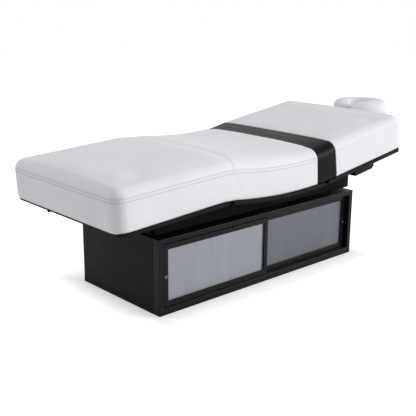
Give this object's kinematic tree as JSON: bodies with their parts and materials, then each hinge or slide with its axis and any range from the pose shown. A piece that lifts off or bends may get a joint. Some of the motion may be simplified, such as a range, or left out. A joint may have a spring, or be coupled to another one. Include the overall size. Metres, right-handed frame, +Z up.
{
  "type": "spa treatment table",
  "caption": "Long padded spa treatment table on a sliding-door cabinet, with lifting upper housing, tilting back and leg sections and a ring face cradle.",
  "frame": {"origin": "middle of the cabinet's footprint on the floor", "axes": "+Z up, +X towards the head end, cabinet doors face -Y"},
  "size_m": [2.3222, 0.8854, 0.8105],
  "materials": {
    "black_panel": "matt black laminate",
    "dark_frame": "satin dark powder coat",
    "track": "dark anodised",
    "grey_insert": "brushed bluish grey, fine upright grain",
    "steel_pull": "brushed",
    "nylon": "matt",
    "plastic": "matt black",
    "fastener": "zinc plated",
    "column": "satin anodised",
    "black_steel": "black powder coat",
    "rod": "ground",
    "board": "black painted plywood",
    "white_vinyl": "soft white upholstery vinyl",
    "charcoal_vinyl": "charcoal upholstery vinyl",
    "rubber": "matt"
  },
  "bodies": {
    "cabinet": {"floor_panel": "black_panel", "end_panels": "black_panel", "back_panel": "black_panel", "deck_panel": "black_panel", "front_top_rail": "dark_frame", "front_bottom_rail": "dark_frame", "front_stiles": "dark_frame", "door_tracks": "track", "power_inlet": "plastic", "back_panel_screws": "fastener", "control_box": "plastic", "column_outer_tubes": "column", "column_motors": "plastic"},
    "foot_door": {"foot_door_frame": "dark_frame", "foot_door_insert": "grey_insert", "foot_door_pull": "steel_pull", "foot_door_glides": "nylon"},
    "head_door": {"head_door_frame": "dark_frame", "head_door_insert": "grey_insert", "head_door_pull": "steel_pull", "head_door_glides": "nylon"},
    "column_middle": {"column_middle_tubes": "column"},
    "upper": {"front_apron": "dark_frame", "rear_apron": "dark_frame", "end_aprons": "dark_frame", "lift_side_rails": "black_steel", "lift_cross_members": "black_steel", "apron_spacers": "black_steel", "seat_platform": "board", "seat_bearers": "black_steel", "seat_cushion": "white_vinyl", "hinge_lugs": "black_steel", "hinge_pins": "fastener", "knee_fold": "white_vinyl", "lumbar_band": "charcoal_vinyl", "back_actuator": "plastic", "leg_actuator": "plastic", "column_inner_tubes": "column"},
    "leg": {"leg_platform": "board", "leg_cushion": "white_vinyl", "leg_frame_rails": "black_steel", "knee_ears": "black_steel", "leg_crank": "black_steel", "foot_bumpers": "rubber"},
    "back": {"back_platform": "board", "back_cushion": "white_vinyl", "back_frame_rails": "black_steel", "hip_ears": "black_steel", "back_crank": "black_steel", "cradle_receivers": "black_steel", "arm_receivers": "black_steel"},
    "back_rod": {"back_actuator_rod": "rod"},
    "leg_rod": {"leg_actuator_rod": "rod"},
    "cradle_stand": {"cradle_stand": "black_steel", "tilt_rod": "fastener"},
    "cradle_head": {"cradle_plate": "board", "face_pillow": "white_vinyl"},
    "cradle_lever": {"cradle_lever": "plastic"},
    "front_knob": {"front_arm_knob": "plastic"},
    "rear_knob": {"rear_arm_knob": "plastic"}
  },
  "joints": [
    {"name": "foot_door_slide", "type": "slide", "parent": "cabinet", "child": "foot_door", "axis": [1, 0, 0], "range_m": [0, 0.65]},
    {"name": "head_door_slide", "type": "slide", "parent": "cabinet", "child": "head_door", "axis": [1, 0, 0], "range_m": [-0.65, 0]},
    {"name": "lift", "type": "slide", "parent": "cabinet", "child": "upper", "axis": [0, 0, 1], "range_m": [0, 0.28]},
    {"name": "column_middle_slide", "type": "slide", "parent": "cabinet", "child": "column_middle", "axis": [0, 0, 1], "range_m": [0, 0.14]},
    {"name": "back_tilt", "type": "hinge", "parent": "upper", "child": "back", "pos_m": [0.319, 0, 0.503], "axis": [0, -1, 0], "range_deg": [-8.4, 46], "deforming": ["lumbar_band"]},
    {"name": "leg_tilt", "type": "hinge", "parent": "upper", "child": "leg", "pos_m": [-0.368, 0, 0.521], "axis": [0, 1, 0], "range_deg": [0, 12], "deforming": ["knee_fold"]},
    {"name": "back_rod_slide", "type": "slide", "parent": "upper", "child": "back_rod", "axis": [1, 0, 0], "range_m": [-0.0125, 0.0665]},
    {"name": "leg_rod_slide", "type": "slide", "parent": "upper", "child": "leg_rod", "axis": [-1, 0, 0], "range_m": [0, 0.0185]},
    {"name": "cradle_slide", "type": "slide", "parent": "back", "child": "cradle_stand", "axis": [0.9893, 0, 0.1461], "range_m": [0, 0.08]},
    {"name": "cradle_tilt", "type": "hinge", "parent": "cradle_stand", "child": "cradle_head", "pos_m": [1.00134, 0, 0.68766], "axis": [0, 1, 0], "range_deg": [-10, 35]},
    {"name": "cradle_lever_turn", "type": "hinge", "parent": "cradle_stand", "child": "cradle_lever", "pos_m": [1.00134, 0, 0.68766], "axis": [0, -1, 0], "range_deg": [0, 45]},
    {"name": "front_knob_turn", "type": "hinge", "parent": "back", "child": "front_knob", "pos_m": [0.81892, -0.34, 0.50606], "axis": [0.9893, 0, 0.1461], "continuous": true},
    {"name": "rear_knob_turn", "type": "hinge", "parent": "back", "child": "rear_knob", "pos_m": [0.81892, 0.34, 0.50606], "axis": [0.9893, 0, 0.1461], "continuous": true}
  ],
  "couplings": [
    {"joint": "column_middle_slide", "follows": "lift", "ratio": 0.5},
    {"joint": "back_rod_slide", "follows": "back_tilt", "m_per_rad": 0.0819},
    {"joint": "leg_rod_slide", "follows": "leg_tilt", "m_per_rad": 0.0849}
  ]
}
